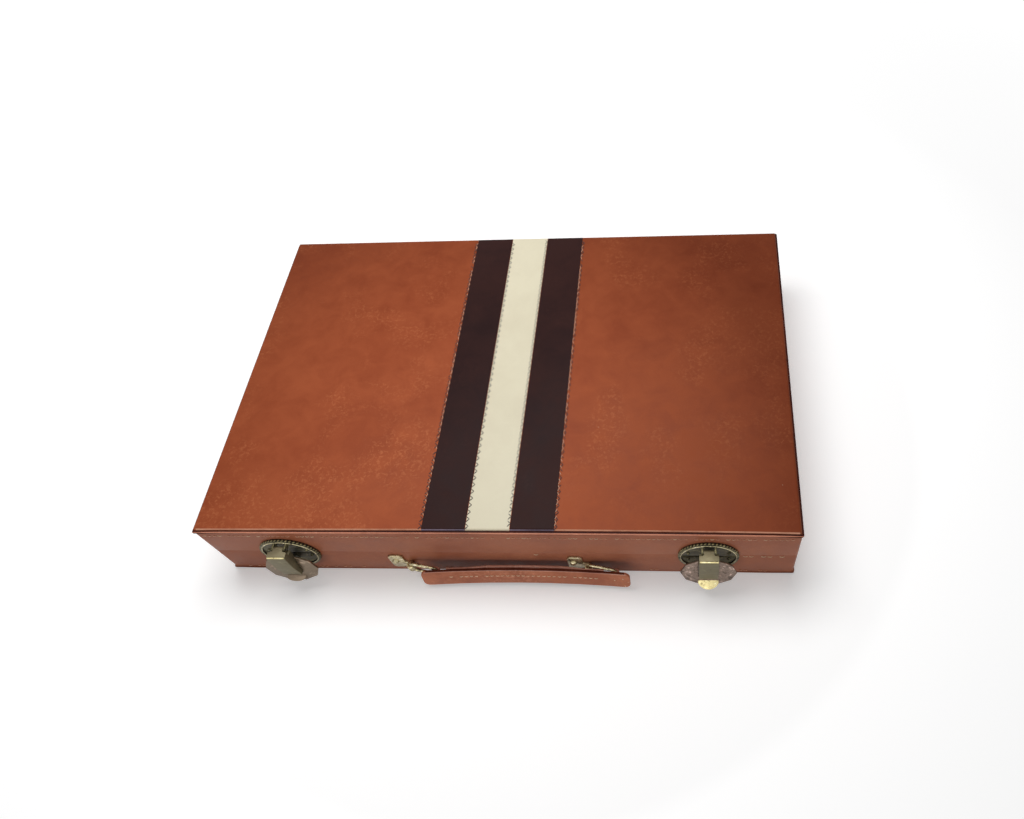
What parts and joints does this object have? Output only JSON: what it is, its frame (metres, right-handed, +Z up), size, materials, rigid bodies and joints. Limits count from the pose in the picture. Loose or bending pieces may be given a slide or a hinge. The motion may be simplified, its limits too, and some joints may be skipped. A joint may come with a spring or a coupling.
{
  "type": "backgammon board",
  "caption": "Folding backgammon board in a leather-covered attache case: two hinged trays with inlaid points, snap latches, a linked strap handle and its playing pieces.",
  "frame": {"origin": "middle of the closed case's underside, on the surface it lies on", "axes": "+X along the hinge to the right as seen from the handle, +Y from the handle to the hinge, +Z up"},
  "size_m": [0.38, 0.2713, 0.0576],
  "materials": {
    "tan_leather": "satin",
    "dark_leather": "satin",
    "cream_leather": "satin",
    "handle_leather": "satin",
    "wood": "matte",
    "field_cork": "matte",
    "light_inlay": "satin",
    "dark_inlay": "satin",
    "antique_brass": "satin",
    "hinge_brass": "satin",
    "steel": "satin",
    "light_piece": "glossy",
    "dark_piece": "glossy",
    "cup_leather": "satin"
  },
  "bodies": {
    "base": {"base_band": "tan_leather", "base_board": "wood", "base_cover": "tan_leather", "base_dark_points": "dark_inlay", "base_field": "field_cork", "base_frame": "wood", "base_hinge_leaf": "hinge_brass", "base_light_points": "light_inlay", "base_rail": "wood", "bracket_left": "antique_brass", "bracket_right": "antique_brass", "bracket_rivets": "antique_brass", "checkers_dark": "dark_piece", "checkers_light": "light_piece", "dice": "light_piece", "dice_cup_back": "cup_leather", "dice_cup_front": "cup_leather", "doubling_cube": "light_piece", "hinge_pin": "steel", "latch_keepers": "antique_brass", "latch_stud_left": "steel", "latch_stud_right": "steel"},
    "lid": {"latch_pin_left": "steel", "latch_pin_right": "steel", "latch_plates": "antique_brass", "lid_band": "tan_leather", "lid_board": "wood", "lid_cream_strip": "cream_leather", "lid_dark_points": "dark_inlay", "lid_dark_strips": "dark_leather", "lid_field": "field_cork", "lid_frame": "wood", "lid_hinge_leaf": "hinge_brass", "lid_light_points": "light_inlay", "lid_rail": "wood", "lid_tan_leather": "tan_leather"},
    "snap_left": {"snap_bar_left": "antique_brass", "snap_cap_left": "antique_brass", "snap_clip_left": "steel"},
    "snap_right": {"snap_bar_right": "antique_brass", "snap_cap_right": "antique_brass", "snap_clip_right": "steel"},
    "link_left": {"link_left": "antique_brass"},
    "link_right": {"link_right": "antique_brass"},
    "handle": {"strap_loop_left": "handle_leather", "strap_loop_right": "handle_leather", "strap_outer": "handle_leather", "strap_pad": "handle_leather"}
  },
  "joints": [
    {"name": "lid_hinge", "type": "hinge", "parent": "base", "child": "lid", "pos_m": [0, 0.1281, 0.0288], "axis": [-1, 0, 0], "range_deg": [0, 180]},
    {"name": "snap_left_flip", "type": "hinge", "parent": "lid", "child": "snap_left", "pos_m": [-0.1371, -0.131, 0.0432], "axis": [-1, 0, 0], "range_deg": [0, 90]},
    {"name": "snap_right_flip", "type": "hinge", "parent": "lid", "child": "snap_right", "pos_m": [0.1339, -0.131, 0.0432], "axis": [-1, 0, 0], "range_deg": [0, 90]},
    {"name": "link_left_swing", "type": "hinge", "parent": "base", "child": "link_left", "pos_m": [-0.061, -0.1288, 0.012], "axis": [0, 0, -1], "range_deg": [0, 158]},
    {"name": "link_right_swing", "type": "hinge", "parent": "base", "child": "link_right", "pos_m": [0.057, -0.1288, 0.012], "axis": [0, 0, -1], "range_deg": [0, 158]},
    {"name": "handle_turn", "type": "hinge", "parent": "link_left", "child": "handle", "pos_m": [-0.04333, -0.13223, 0.012], "axis": [0, 0, 1], "range_deg": [0, 158]}
  ],
  "couplings": [
    {"joint": "handle_turn", "follows": "link_left_swing", "ratio": 1},
    {"joint": "link_right_swing", "follows": "link_left_swing", "ratio": 1}
  ]
}
